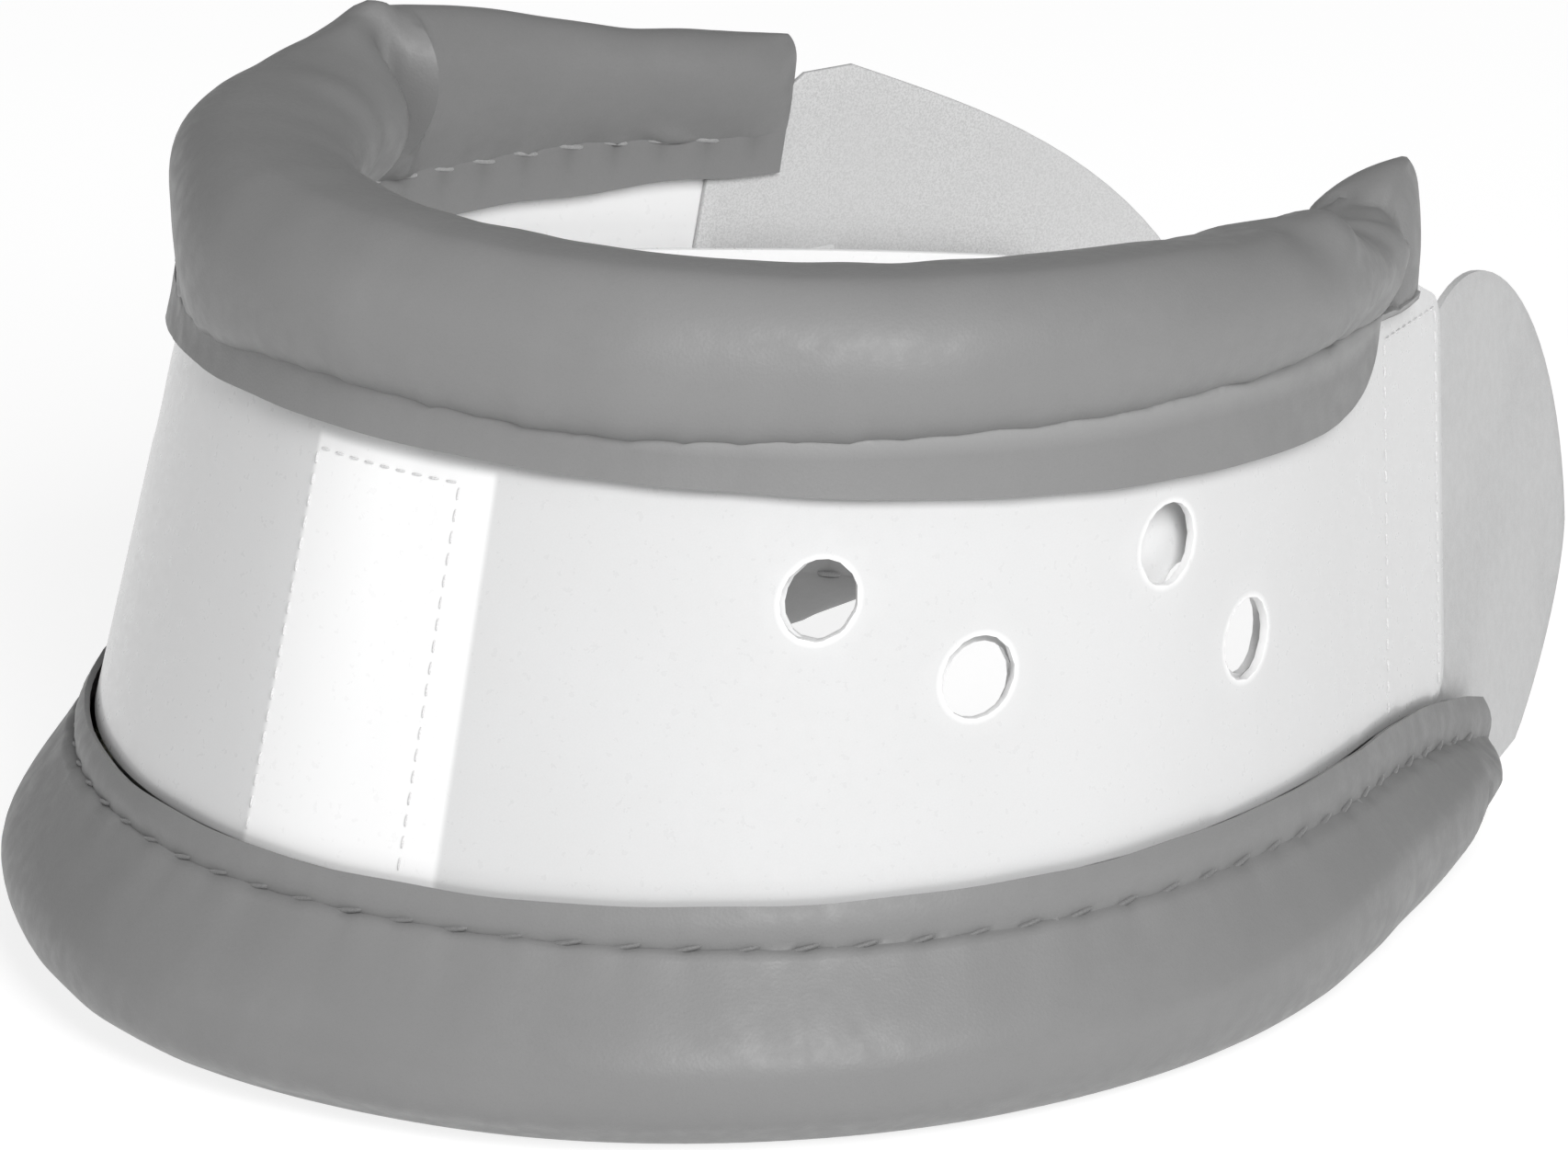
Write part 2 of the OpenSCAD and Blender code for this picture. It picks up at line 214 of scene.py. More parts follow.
def upper_top_z(s):
    """The left end dips into a fold before its lip. The right side peaks at its crease."""
    plain = 91.9 - 4.7 * (s / 100) ** 2
    dip = 4.6 * hump(s, 144, 14) + 1.0 * hump(s, 114, 10) - 0.6 * hump(s, 127, 6)
    dip += 1.6 * hump(s, 155, 5) + 0.9 * hump(s, 121, 5)
    peak = 1.6 * hump(s, -CREASE_AT + 2, 11)
    fall = 3.6 * ease((-s - 117) / 30) + 0.8 * ease((-s - 140) / 26)
    return plain - dip + peak - fall


def lower_hem_z(s):
    u = s / 100
    return 25.4 + 0.9 * u**2 - 1.27 * u**4


def lower_seam_z(s):
    """The seam climbs closer to the hem on the right side."""
    return lower_hem_z(s) - 5 + 0.8 * ease((-s - 10) / 40) + 1.2 * hump(s, 8, 45)


def lower_bottom_z(s):
    """The roll's ends lift off the floor, the right one more."""
    return FLOOR_GAP + 5 * (np.maximum(0, np.abs(s) - 150) / 39) ** 2 + 2.4 * ease((-s - 160) / 22)


def upper_panel_top_z(s):
    fall = 0.45 * np.maximum(0, np.abs(s) - 155) + corner_fall(s, UPPER_PANEL_END, 3)
    return upper_sewing_z(s) + 2.6 - fall


def upper_panel_bottom_z(s):
    return lower_hem_z(s) - 0.6 + corner_fall(s, UPPER_PANEL_END, 5)


def lower_panel_top_z(s):
    return 65.3 - 5.2 * (s / 100) ** 2 - corner_fall(s, LOWER_PANEL_END, 8)


def lower_panel_bottom_z(s):
    seam = lower_seam_z(s)
    return seam + 0.2 * (lower_bottom_z(s) - seam) + corner_fall(s, LOWER_PANEL_END, 8)


# Where the right side of the upper roll folds in a sharp crease
CREASE_AT = 107.5

# The frame's origin is under the middle of the collar, so the wall shifts along Y until its
# front, at the foot of the upper panel, meets the CAD's.
FRONT_FOOT = wall_point(0, 0, upper_panel_bottom_z(0))[1]
CENTRE_Y = FRONT_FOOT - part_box("upper_panel")[0].y / MM

# ------------------------------------------------------------------------ mesh building


def make_object(name, points, faces):
    mesh = bpy.data.meshes.new(name)
    mesh.from_pydata([tuple(p) for p in points], [], [tuple(f) for f in faces])
    mesh.validate()
    mesh.update()
    obj = bpy.data.objects.new(name, mesh)
    bpy.context.scene.collection.objects.link(obj)
    return obj


def apply_modifiers(obj):
    bpy.context.view_layer.update()
    graph = bpy.context.evaluated_depsgraph_get()
    mesh = bpy.data.meshes.new_from_object(obj.evaluated_get(graph))
    obj.modifiers.clear()
    old = obj.data
    obj.data = mesh
    bpy.data.meshes.remove(old)
    mesh.name = obj.name


def bevel(obj, width):
    """Rounds the sharp edges of a closed sheet."""
    round_off = obj.modifiers.new("rounded", "BEVEL")
    round_off.width = width * MM
    round_off.segments = 2
    round_off.limit_method = "ANGLE"
    round_off.angle_limit = math.radians(45)
    apply_modifiers(obj)


def shade(obj, angle=50):
    obj.data.shade_smooth()
    obj.data.set_sharp_from_angle(angle=math.radians(angle))


def store(obj, name, values):
    """Keeps one number for each point of the mesh, for the materials to read."""
    layer = obj.data.attributes.new(name, "FLOAT", "POINT")
    layer.data.foreach_set("value", np.asarray(values, np.float32))


def read_points(mesh):
    """A mesh's points as an array with one row each."""
    flat = np.empty(3 * len(mesh.vertices))
    mesh.vertices.foreach_get("co", flat)
    return flat.reshape(-1, 3)


def write_points(mesh, points):
    mesh.vertices.foreach_set("co", points.ravel())
    mesh.update()


def unit_circle(count):
    angles = np.arange(count) * 2 * math.pi / count
    return np.stack([np.cos(angles), np.sin(angles)], -1)


def grid_faces(rows, columns):
    """Quads between neighbouring points of a grid whose point (i, j) has number i * columns + j."""
    i, j = np.meshgrid(np.arange(rows - 1), np.arange(columns - 1), indexing="ij")
    first = (i * columns + j).ravel()
    return np.stack([first, first + columns, first + columns + 1, first + 1], -1)


def tube_faces(rings, count):
    """Faces of a tube with so many rings of count points, closed at both ends."""
    faces = []
    for a in range(0, (rings - 1) * count, count):
        b = a + count
        faces += [(a + i, a + (i + 1) % count, b + (i + 1) % count, b + i) for i in range(count)]
    faces.append(tuple(range(count))[::-1])
    faces.append(tuple(range((rings - 1) * count, rings * count)))
    return faces


def thicken(name, flat, triangles, o_out, o_in, lift=None):
    """Closed sheet over a flat triangulation in s and z, between two faces."""
    s, z = flat[:, 0], flat[:, 1]
    shift = 0 if lift is None else lift(s, z)
    points = np.concatenate([place(s, o_out + shift, z), place(s, o_in + shift, z)])
    count = len(flat)
    edges = {}
    for a, b, c in triangles:
        for edge in ((a, b), (b, c), (c, a)):
            edges[edge] = edges.get(edge, 0) + 1
    rim = [edge for edge in edges if (edge[1], edge[0]) not in edges]
    faces = [tuple(t) for t in triangles]
    faces += [(c + count, b + count, a + count) for a, b, c in triangles]
    faces += [(b, a, a + count, b + count) for a, b in rim]
    return make_object(name, points, faces)


def inside(outline, points):
    """Which of the points lie inside a closed outline."""
    x, y = points[:, 0], points[:, 1]
    result = np.zeros(len(points), bool)
    for (x1, y1), (x2, y2) in zip(outline, np.roll(outline, -1, 0)):
        crosses = (y1 > y) != (y2 > y)
        rise = y2 - y1 if y2 != y1 else 1.0
        result ^= crosses & (x < (x2 - x1) * (y - y1) / rise + x1)
    return result


def distance_to(outline, points):
    a, b = outline, np.roll(outline, -1, 0)
    along = b - a
    reach = np.maximum((along**2).sum(-1), 1e-9)
    offset = points[:, None, :] - a[None]
    t = np.clip((offset * along[None]).sum(-1) / reach[None], 0, 1)
    return np.linalg.norm(offset - t[..., None] * along[None], axis=-1).min(-1)


def triangulate(outline, holes, step):
    """Fills an outline in s and z with even triangles, leaving round holes open."""
    outline = np.array(outline, float)
    low, high = outline.min(0), outline.max(0)
    grid_s = np.arange(low[0] + step / 2, high[0], step)
    grid_z = np.arange(low[1] + step / 2, high[1], step)
    mesh = np.stack(np.meshgrid(grid_s, grid_z), -1).reshape(-1, 2)
    mesh = mesh[inside(outline, mesh)]
    clear = step * 0.45
    mesh = mesh[distance_to(outline, mesh) > clear]
    loops = [outline]
    rings = []
    circle = unit_circle(VENT_SIDES)
    for centre in holes:
        middle = np.array(centre)
        loops.append(middle + VENT_RADIUS * circle)
        rings.append(middle + VENT_RING * circle)
        away = np.linalg.norm(mesh - middle, axis=1)
        mesh = mesh[away > VENT_RING + clear]
    points = np.concatenate(loops + rings + [mesh])
    edges = []
    start = 0
    for loop in loops:
        n = len(loop)
        edges += [(start + k, start + (k + 1) % n) for k in range(n)]
        start += n
    found, _, faces, _, _, _ = delaunay_2d_cdt([Vector(p) for p in points], edges, [], 0, 1e-5)
    flat = np.array([tuple(v) for v in found])
    triangles = np.array(faces)
    middles = flat[triangles].mean(1)
    keep = inside(outline, middles)
    for centre in holes:
        keep &= np.linalg.norm(middles - np.array(centre), axis=1) > VENT_RADIUS * 0.98
    triangles = triangles[keep]
    a, b, c = (flat[triangles[:, k]] for k in range(3))
    cross = (b - a)[:, 0] * (c - a)[:, 1] - (b - a)[:, 1] * (c - a)[:, 0]
    triangles = triangles[np.abs(cross) > 1e-6]
    cross = cross[np.abs(cross) > 1e-6]
    triangles[cross < 0] = triangles[cross < 0][:, ::-1]
    used, index = np.unique(triangles, return_inverse=True)
    return flat[used], index.reshape(-1, 3)


def band_outline(end, low, high):
    """Outline of a band from -end to end between two edge heights, with close end points."""
    close = end - 8 * (1 - np.array([0, 0.2, 0.4, 0.6, 0.75, 0.88, 0.96, 1.0]))
    half = np.concatenate([np.arange(0, end - 8.5, 2), close])
    s = np.concatenate([-half[:0:-1], half])
    lower = np.stack([s, low(s)], -1)
    upper = np.stack([s[::-1], high(s[::-1])], -1)
    rim = np.concatenate([lower, upper])
    gap = np.linalg.norm(rim - np.roll(rim, 1, 0), axis=1)
    return rim[gap > 0.05]


# -------------------------------------------------------------------------------- rolls

COVER_FACE = SHEET / 2 + SNUG + 0.8
HEM_ROWS = 5
ROLL_ROWS = 56
INNER_SEAM = HEM_ROWS + ROLL_ROWS
COLUMNS_PER_STITCH = 6
FLAT_END = 14
STITCH = 6.0
STITCH_LENGTH = 3.4
UPPER_STITCHES = 26
LOWER_STITCHES = 30
CORE_SHRINK = 0.8
LOWER_HEM_FACE = 1.25
LOWER_SEAM_FACE = 1.3


def fullness(s, end):
    """1 along a roll's length and almost 0 at its flattened ends."""
    return np.maximum(0.06, 1 - corner_fall(s, end, FLAT_END) / FLAT_END)


def swell(half_turn, droop):
    """Rounding of a roll's side, 1 at its fullest. More droop moves that away from the seam."""
    fullest = np.arctan(np.sqrt(1 + droop))
    top = np.sin(fullest) ** (1 + droop) * np.cos(fullest)
    return np.sin(half_turn) ** (1 + droop) * np.abs(np.cos(half_turn)) / top


def roll_section(t, mid, halves, bulges, droops, seam_z, far_z, closing):
    """Offset and height on a roll. t is 0 at the outer seam, 0.5 at the far edge, 1 at the inner
    seam. halves, bulges and droops are for the outer and the inner side."""
    a = 2 * math.pi * t
    rise = (1 - np.cos(a)) / 2
    outer = t < 0.5
    reach = np.where(outer, halves[0], halves[1]) * (1 - rise**closing)
    bulge = [bulges[side] * swell(a / 2, droops[side]) for side in (0, 1)]
    reach = reach + np.where(outer, *bulge)
    return mid + np.where(outer, 1.0, -1.0) * reach, seam_z + (far_z - seam_z) * rise


def wave(s, *lengths):
    """Smooth uneven wave from a few wavelengths, between about -1 and 1."""
    total = sum(np.sin(2 * math.pi * s / length + 1.7 * length) for length in lengths)
    return total / len(lengths)


def upper_bulges(s):
    """How far the upper roll stands out of the wall on its outer and inner sides."""
    full = fullness(s, UPPER_ROLL_END)
    flat_end = 1 - 0.85 * ease((s - 138) / 20)
    outer = (4.6 - 0.7 * ease((-s - 30) / 30)) * full * flat_end * (1 + 0.10 * wave(s, 31, 47))
    past_crease = ease((-s - CREASE_AT) / 3)
    pinch = 1 - 0.9 * hump(s, -CREASE_AT + 3, 9) * (1 - past_crease)
    flat_side = 1 - 0.75 * past_crease
    near_folds = 1 - 0.3 * hump(s, 129, 5) - 0.3 * hump(s, 147, 7) - 0.35 * ease((s - 112) / 36)
    inner = 13.5 * full * pinch * flat_side * near_folds * (1 + 0.05 * wave(s, 37, 59))
    return outer, inner


def lower_bulges(s):
    full = fullness(s, LOWER_ROLL_END)
    flatten = 1 - 0.55 * ease((np.abs(s) - 138) / 40) - 0.3 * ease((-s - 150) / 25)
    inner = 10.0 * full * flatten * (1 + 0.05 * wave(s, 39, 57))
    flat_end = 1 - 0.15 * ease((np.abs(s) - 162) / 24)
    outer = (8.8 - 1.1 * ease((-s - 10) / 40) + 0.7 * hump(s, 20, 45)) * full * flat_end
    return outer * (1 + 0.035 * wave(s, 43, 61)), inner


def upper_roll(s, t, face):
    """Offset and height of the upper roll's surface, face millimetres out of the panel's middle."""
    closing = 0.7 + 3.3 * ease((UPPER_ROLL_END - np.abs(s)) / 8)
    top = upper_top_z(s) - COVER_FACE + face
    halves = (face, face)
    droops = (0.15 + 2.05 * ease((-s - 25) / 35), 0.5 + 0.6 * ease((-s - CREASE_AT) / 8))
    return roll_section(t, UPPER_MID, halves, upper_bulges(s), droops, upper_seam_z(s), top, closing)


def lower_roll(s, t, face):
    skin = COVER_FACE - face
    halves = (LOWER_SEAM_FACE - LOWER_MID - skin, face)
    bottom = lower_bottom_z(s) + skin
    bulges = lower_bulges(s)
    o, z = roll_section(t, LOWER_MID, halves, bulges, (1.8, 0.8), lower_seam_z(s), bottom, 1.6)
    return o, np.maximum(z, 0.15 + skin)


def cover_columns(end):
    """Places along a roll, a few for each stitch, with the stitches' middles among them."""
    step = STITCH / COLUMNS_PER_STITCH
    count = int(end / step)
    inner = np.arange(-count, count + 1) * step
    return np.concatenate([[-end], inner[np.abs(inner) < end - step / 2], [end]])


def cover_grid(s, upper):
    """Offsets and heights of a roll cover at each s: outer hem, roll and inner hem."""
    s = s[:, None]
    t = np.linspace(0, 1, ROLL_ROWS + 1)[None, :]
    hem = np.linspace(0, 1, HEM_ROWS + 1)[None, :-1]
    if upper:
        o, z = upper_roll(s, t, COVER_FACE)
        seam = upper_seam_z(s)
        outer_edge = upper_hem_edge(s) + 0.08 * wave(s, 17, 29)
        hem = 1 - (1 - hem) ** 1.6
        ledge = 0.45 * np.minimum(1, (1 - hem) / 0.07) * hem**2
        outer_o = UPPER_MID + COVER_FACE + 0.15 * (1 - hem) * (1 + 0.4 * wave(s, 13, 21)) + ledge
        inner_edge = upper_inner_hem_z(s) + 0.3 * wave(s, 19, 33)
        inner_mid = UPPER_MID
    else:
        o, z = lower_roll(s, t, COVER_FACE)
        seam = lower_seam_z(s)
        outer_edge = lower_hem_z(s) + 0.12 * wave(s, 17, 29)
        lean = (LOWER_SEAM_FACE - LOWER_HEM_FACE) * hem
        outer_o = LOWER_HEM_FACE + lean + 0.5 * np.sin(math.pi * hem) + 0 * s
        inner_edge = seam + 5 + 0.2 * wave(s, 19, 33)
        inner_mid = LOWER_MID
    outer_z = outer_edge + (seam - outer_edge) * hem
    inner_hem = np.linspace(0, 1, HEM_ROWS + 1)[None, 1:]
    inner_z = seam + (inner_edge - seam) * inner_hem
    inner_o = inner_mid - COVER_FACE - 0.25 * inner_hem**2 + 0 * s
    return np.concatenate([outer_o, o, inner_o], 1), np.concatenate([outer_z, z, inner_z], 1)


# The cloth is worked out on a model this many times larger, where the solver is steadier
SIM_SCALE = 20
SIM_FRAMES = 20
PRESSURE = 30


def inflate(obj, pins, most_move):
    """Blows a cover up against its pinned seams with cloth, and keeps how its points moved, up to
    most_move millimetres for each point."""
    scene = bpy.context.scene
    rest = read_points(obj.data)
    model = bpy.data.objects.new("cloth_model", obj.data.copy())
    model.data.transform(Matrix.Scale(SIM_SCALE, 4))
    scene.collection.objects.link(model)
    group = model.vertex_groups.new(name="pins")
    group.add([int(p) for p in pins], 1.0, "REPLACE")
    cloth = model.modifiers.new("cloth", "CLOTH")
    cloth.settings.quality = 5
    cloth.settings.mass = 0.01
    cloth.settings.vertex_group_mass = "pins"
    cloth.settings.use_pressure = True
    cloth.settings.uniform_pressure_force = PRESSURE
    cloth.settings.effector_weights.gravity = 0
    cloth.settings.tension_stiffness = 8
    cloth.settings.compression_stiffness = 8
    cloth.settings.shear_stiffness = 4
    cloth.settings.bending_stiffness = 0.2
    cloth.collision_settings.use_collision = False
    cloth.point_cache.frame_start = 1
    cloth.point_cache.frame_end = SIM_FRAMES
    for step in range(1, SIM_FRAMES + 1):
        scene.frame_set(step)
    shaped = model.evaluated_get(bpy.context.evaluated_depsgraph_get())
    move = read_points(shaped.data) / SIM_SCALE - rest
    length = np.linalg.norm(move, axis=1, keepdims=True)
    move *= np.minimum(1, most_move[:, None] * MM / np.maximum(length, 1e-9))
    write_points(obj.data, rest + move)
    bpy.data.objects.remove(model)
    scene.frame_set(1)


def push(obj, amount):
    """Moves each point along its normal by so many millimetres."""
    normals = np.empty(3 * len(obj.data.vertices))
    obj.data.vertex_normals.foreach_get("vector", normals)
    write_points(obj.data, read_points(obj.data) + normals.reshape(-1, 3) * (amount * MM)[:, None])


def pucker_depth(s, upper, outer):
    """How strongly the stitches gather the cover beside a seam."""
    if not upper:
        return 0.16 + 0.06 * wave(s, 23, 41)
    if outer:
        return 0.04 + 0.16 * (1 - ease((s - 40) / 40)) + 0.04 * wave(s, 27, 45)
    return 0.26 + 0.1 * wave(s, 27, 45)


def from_stitch(s):
    """Distance to the nearest stitch's middle, in stitches."""
    return np.abs(s / STITCH - np.round(s / STITCH))


def tuck(s):
    """1 where a stitch pulls the cover in and 0 between the stitches."""
    return np.exp(-((from_stitch(s) / 0.16) ** 2))


def puckers(s, rows, upper):
    """Small folds beside the seams, and long soft ones over the roll."""
    t = (rows - HEM_ROWS) / ROLL_ROWS
    out_gap = np.abs(rows - HEM_ROWS)
    in_gap = np.abs(rows - INNER_SEAM)
    comb = 1.6 * tuck(s) - 0.4
    uneven = 0.7 + 0.3 * wave(s, 9.3, 13.7)
    outer = pucker_depth(s, upper, True) * np.exp(-((out_gap - 2) / 4.5) ** 2)
    inner = pucker_depth(s, upper, False) * np.exp(-((in_gap - 2) / 4.5) ** 2)
    fade = np.exp(-(out_gap / 11) ** 2) + np.exp(-(in_gap / 11) ** 2)
    broad = 0.14 * fade * wave(s + 6 * t, 11.3, 7.9)
    over_roll = np.clip(np.sin(math.pi * np.clip(t, 0, 1)), 0, 1)
    soft = 0.22 * over_roll * wave(s + 30 * t, 34, 21) * wave(s - 45 * t, 53, 29)
    return -(outer + inner) * comb * uneven + broad + soft


def fold(s, t, at, lean, width, depth, low, high):
    """A crease across a roll. It lies at `at` where t is 0.5 and leans by lean along the roll."""
    line = s - at - lean * (t - 0.5)
    reach = ease((t - low) / 0.1) * ease((high - t) / 0.1)
    return -depth * reach * np.exp(-((line / width) ** 2))


def upper_folds(s, rows):
    """Creases of the upper roll: its left end bunches up and its right side folds sharply."""
    t = (rows - HEM_ROWS) / ROLL_ROWS
    folds = [
        (131, 34, 2.6, 1.0, 0.30, 0.85),
        (143, -26, 2.4, 0.9, 0.22, 0.80),
        (152, 18, 3.0, 0.7, 0.15, 0.75),
        (118, 40, 3.5, 0.5, 0.42, 0.95),
        (-CREASE_AT + 2.5, -16, 1.6, 1.1, 0.40, 1.0),
        (-CREASE_AT + 8, 24, 3.4, 0.8, 0.45, 0.97),
        (-138, -30, 2.2, 0.5, 0.82, 1.05),
        (-82, 22, 4.0, 0.5, 0.50, 0.95),
    ]
    return sum(fold(s, t, *shape) for shape in folds)


def seam_shade(s, rows):
    """Painted shade: 1 in the tucks of the roll beside the two seams and 0 away from them and on the outer
    hem.
    """
    outer = rows - HEM_ROWS
    gap = np.minimum(np.maximum(outer, -4 * outer), np.abs(outer - ROLL_ROWS))
    return np.exp(-((gap / 2.4) ** 2)) * (0.15 + 0.85 * tuck(s))


def painted_seam_highlight(s, rows, upper):
    """Painted highlight where the folded hem edge catches the light: 1 on the ledge of the upper outer hem,
    just under its seam, to the left of the chin.
    """
    below = HEM_ROWS - rows
    return np.select([below == 1, below == 2], [1.0, 0.6]) * ease((s - 15) / 25) * upper


def end_trim(s, z, end, upper):
    """The ends of a cover are cut back a little away from the seam, with rounded corners."""
    near_end = ease((np.abs(s) - end + 24) / 24)
    if upper:
        above = np.clip((z - upper_seam_z(s)) / (upper_top_z(s) - upper_seam_z(s)), -1, 1)
        cut = 0.6 + 2.2 * np.maximum(0, above - 0.75) ** 2 / 0.0625 + 1.2 * np.maximum(0, -above) ** 2
        slope = 4.5 * (1 - np.clip(above / 0.65, 0, 1)) ** 2
        cut = np.where(s < 0, 0.3 * cut - 0.3, cut + slope)
    else:
        below = np.clip((lower_seam_z(s) - z) / 12, -1, 1)
        cut = 11.0 * np.maximum(0, below - 0.1) ** 1.3 + 8.0 * np.maximum(0, -below) ** 1.5
    return s - np.sign(s) * near_end * cut


def roll_cover(name, end, upper):
    """A vinyl cover, blown up like cloth and then gathered and creased."""
    s = cover_columns(end)
    o, z = cover_grid(s, upper)
    columns, rows = o.shape
    points = place(end_trim(s[:, None], z, end, upper), o, z).reshape(-1, 3)
    obj = make_object(name, points, grid_faces(columns, rows)[:, ::-1])
    all_s = np.repeat(s, rows)
    all_rows = np.tile(np.arange(rows), columns)
    hem = (all_rows < HEM_ROWS) | (all_rows > INNER_SEAM)
    seam = (all_rows == HEM_ROWS) | (all_rows == INNER_SEAM)
    held = hem | (seam & (from_stitch(all_s) < 0.3))
    held |= np.abs(all_s) > end - 1.5 * STITCH
    past_crease = ease((-all_s - CREASE_AT + 12) / 12) if upper else 0 * all_s
    inflate(obj, np.flatnonzero(held), 1 - 0.97 * past_crease)
    amount = puckers(all_s, all_rows, upper) * fullness(all_s, end)
    if upper:
        amount = amount + upper_folds(all_s, all_rows)
    else:
        amount = amount * ease((z.ravel() - 0.4) / 2.5 + (all_rows <= HEM_ROWS + 4))
    amount = np.where(hem, np.abs(amount) * 0.4, amount)
    push(obj, amount)
    keep_above_floor(obj)
    # The seam mark holds painted shade for the tucks beside the seams, which the vinyl reads.
    store(obj, "seam", seam_shade(all_s, all_rows))
    # The ledge mark holds a painted highlight under the upper seam, which the vinyl reads.
    store(obj, "ledge", painted_seam_highlight(all_s, all_rows, upper))
    skin = obj.modifiers.new("skin", "SOLIDIFY")
    skin.thickness = VINYL * MM
    skin.offset = -1
    apply_modifiers(obj)
    shade(obj, 60)
    return obj


def keep_above_floor(obj):
    points = read_points(obj.data)
    points[:, 2] = np.maximum(points[:, 2], FLOOR_GAP * MM)
    write_points(obj.data, points)


def roll_core(name, cover_end, section):
    """Foam inside a cover, with a flat face a little short of the seam."""
    end = cover_end - 4
    s = np.linspace(-end, end, 181)[:, None]
    t = np.linspace(0.16, 0.84, 33)[None, :]
    o, z = section(s, t, COVER_FACE)
    columns, rows = o.shape
    middle_o, middle_z = o.mean(1, keepdims=True), z.mean(1, keepdims=True)
    o = middle_o + (o - middle_o) * CORE_SHRINK
    z = middle_z + (z - middle_z) * CORE_SHRINK
    points = place(np.repeat(s, rows, 1), o, z).reshape(-1, 3)
    obj = make_object(name, points, tube_faces(columns, rows))
    fix_normals(obj)
    return obj


def fix_normals(obj):
    """Turns every face of a closed mesh outwards and shades it smooth."""
    work = bmesh.new()
    work.from_mesh(obj.data)
    bmesh.ops.recalc_face_normals(work, faces=work.faces)
    work.to_mesh(obj.data)
    work.free()
    shade(obj, 60)


# ------------------------------------------------------------------------------ threads

THREAD_SIDES = 8
THREAD_POINTS = 9
BOX_PITCH = 2.2
BOX_STITCH = 1.5
BOX_PROUD = 0.2
BOX_THREAD = 0.13


def tube(path, radius):
    """Points and faces of a thread along a path, with rounded ends."""
    path = np.asarray(path)
    ahead = np.gradient(path, axis=0)
    ahead /= np.linalg.norm(ahead, axis=1, keepdims=True)
    up = np.cross(ahead, np.array([0.31, 0.27, 0.91]))
    up /= np.linalg.norm(up, axis=1, keepdims=True)
    across = np.cross(ahead, up)
    n = len(path)
    ends = np.sqrt(np.clip(1 - np.abs(np.linspace(-1, 1, n)) ** 6, 0.02, 1))
    cos, sin = unit_circle(THREAD_SIDES).T[:, None, :, None]
    ring = radius * (cos * up[:, None] + sin * across[:, None])
    points = (path[:, None] + ring * ends[:, None, None]).reshape(-1, 3)
    return points, tube_faces(n, THREAD_SIDES)


def stitch_path(s, z, face, side, length, along, proud, slant=0.0):
    """One stitch on a face. side is 1 outside and -1 inside; along is (1, 0) or (0, 1) in s and z."""
    u = np.linspace(-1, 1, THREAD_POINTS)
    arch = proud * np.sqrt(np.clip(1 - u**2, 0, 1)) - 0.12
    run = u * length / 2
    across = slant * u
    s = s + along[0] * run - along[1] * across
    z = z + along[1] * run + along[0] * across
    return place(s, face + side * arch, z)


def stitches(name, paths, radius):
    points, faces = [], []
    for path in paths:
        p, f = tube(path, radius * MM)
        start = sum(len(q) for q in points)
        faces += [tuple(start + i for i in face) for face in f]
        points.append(p)
    obj = make_object(name, np.concatenate(points), faces)
    fix_normals(obj)
    return obj


def box_paths(columns, low, high, face, side, closed):
    """Stitches up two columns of a strip and across its top, and across its foot if closed.
    low and high are functions of s."""
    s1, s2 = columns
    paths = []
    for s in columns:
        count = int((high(s) - low(s)) / BOX_PITCH)
        for i in range(count):
            z = low(s) + (i + 0.5) * (high(s) - low(s)) / count
            paths.append(stitch_path(s, z, face, side, BOX_STITCH, (0, 1), BOX_PROUD))
    count = int((s2 - s1) / BOX_PITCH)
    for i in range(count):
        s = s1 + (i + 0.5) * (s2 - s1) / count
        for z in (high(s), low(s)) if closed else (high(s),):
            paths.append(stitch_path(s, z, face, side, BOX_STITCH, (1, 0), BOX_PROUD))
    return paths


def seam_paths(count, height, out_face, in_face, in_length, in_proud, slant):
    """Stitches along a roll's seam, outside and inside, count of them to each side of the chin."""
    paths = []
    for i in range(-count, count + 1):
        s = i * STITCH
        paths.append(stitch_path(s, height(s), out_face, 1, STITCH_LENGTH, (1, 0), 0.3, slant))
        paths.append(stitch_path(s, height(s), in_face, -1, in_length, (1, 0), in_proud, slant))
    return paths


# --------------------------------------------------------------------- sheets and tapes

TAPE_STEP = 2.0


def sheet_piece(name, outline, o_out, o_in, holes=(), step=2.5, lift=None, edge=0.22):
    """A sheet on the wall, with the marks that the plastic and tape materials read."""
    flat, triangles = triangulate(outline, holes, step)
    obj = thicken(name, flat, triangles, o_out, o_in, lift)
    marks = {"along": flat[:, 0], "height": flat[:, 1], "rim": vent_rim_highlight(flat, holes)}
    for mark, values in marks.items():
        store(obj, mark, np.tile(values, 2))
    # The inner_face mark lets the plastics paint light onto the sheets' inner faces.
    store(obj, "inner_face", np.repeat([0, 1], len(flat)))
    bevel(obj, edge)
    shade(obj)
    return obj


def vent_rim_highlight(flat, holes):
    """Painted highlight: 1 at the edge of a vent hole and 0 a little way from it."""
    mark = np.zeros(len(flat))
    for centre in holes:
        gap = np.linalg.norm(flat - np.array(centre), axis=1) - VENT_RADIUS
        mark = np.maximum(mark, np.exp(-((gap / 0.45) ** 2)))
    return mark


def both_sides(vents):
    return vents + [(-s - RIGHT_VENT_SHIFT, z) for s, z in vents]


def rectangle(s1, s2, low, high):
    """Outline of a tape or a patch."""
    s = np.linspace(s1, s2, int((s2 - s1) / TAPE_STEP) + 1)
    z = np.linspace(low, high, int((high - low) / TAPE_STEP) + 1)
    parts = [
        np.stack([s, low + 0 * s], -1),
        np.stack([s2 + 0 * z, z], -1)[1:],
        np.stack([s[::-1], high + 0 * s], -1)[1:],
        np.stack([s1 + 0 * z, z[::-1]], -1)[1:-1],
    ]
    return np.concatenate(parts)


